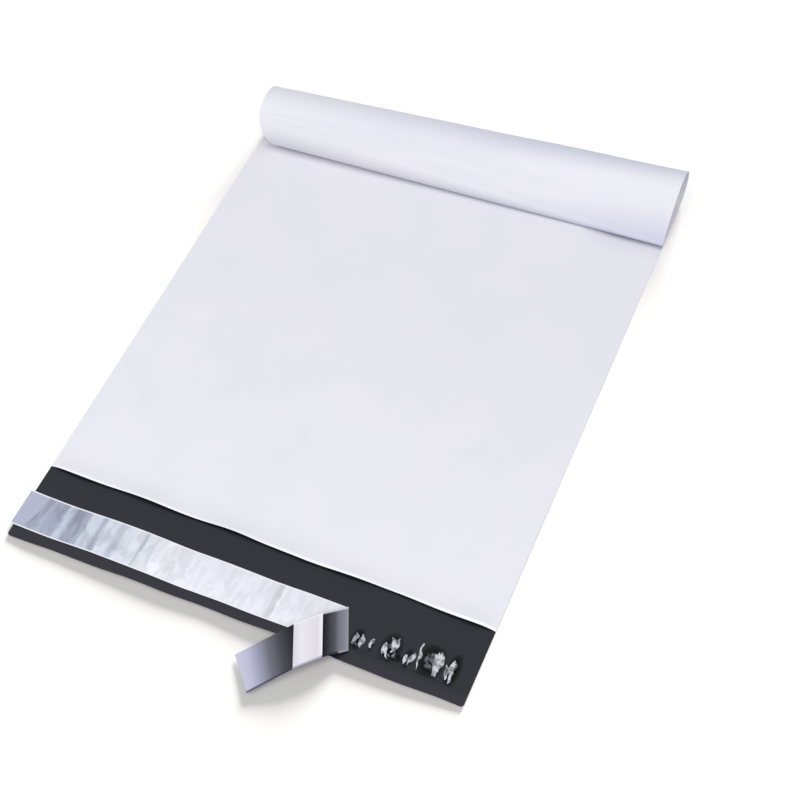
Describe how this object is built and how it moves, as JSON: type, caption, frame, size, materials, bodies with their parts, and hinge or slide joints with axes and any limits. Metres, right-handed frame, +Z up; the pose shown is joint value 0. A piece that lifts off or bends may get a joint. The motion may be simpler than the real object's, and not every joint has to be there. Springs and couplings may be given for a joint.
{
  "type": "poly mailer bag",
  "caption": "Flat plastic mailing bag, white outside and black inside, with a glue flap, a partly peeled release liner and its closed end rolled over.",
  "frame": {"origin": "on the flat underside of the back panel, halfway across the bag and 160 mm behind the flap's free edge", "axes": "+Z up, away from the surface that the bag lies on; +Y along the bag, from the flap towards the rolled closed end; +X to the right when the mouth is nearest"},
  "size_m": [0.2515, 0.3918, 0.032],
  "materials": {
    "mailer_film": "satin white outside, satin black inside",
    "adhesive_strip": "glossy, tacky and clear over black film",
    "release_liner": "glossy translucent grey-white film"
  },
  "bodies": {
    "root": {"mailer_film": "mailer_film", "adhesive_strip": "adhesive_strip", "release_liner": "release_liner"}
  },
  "joints": []
}
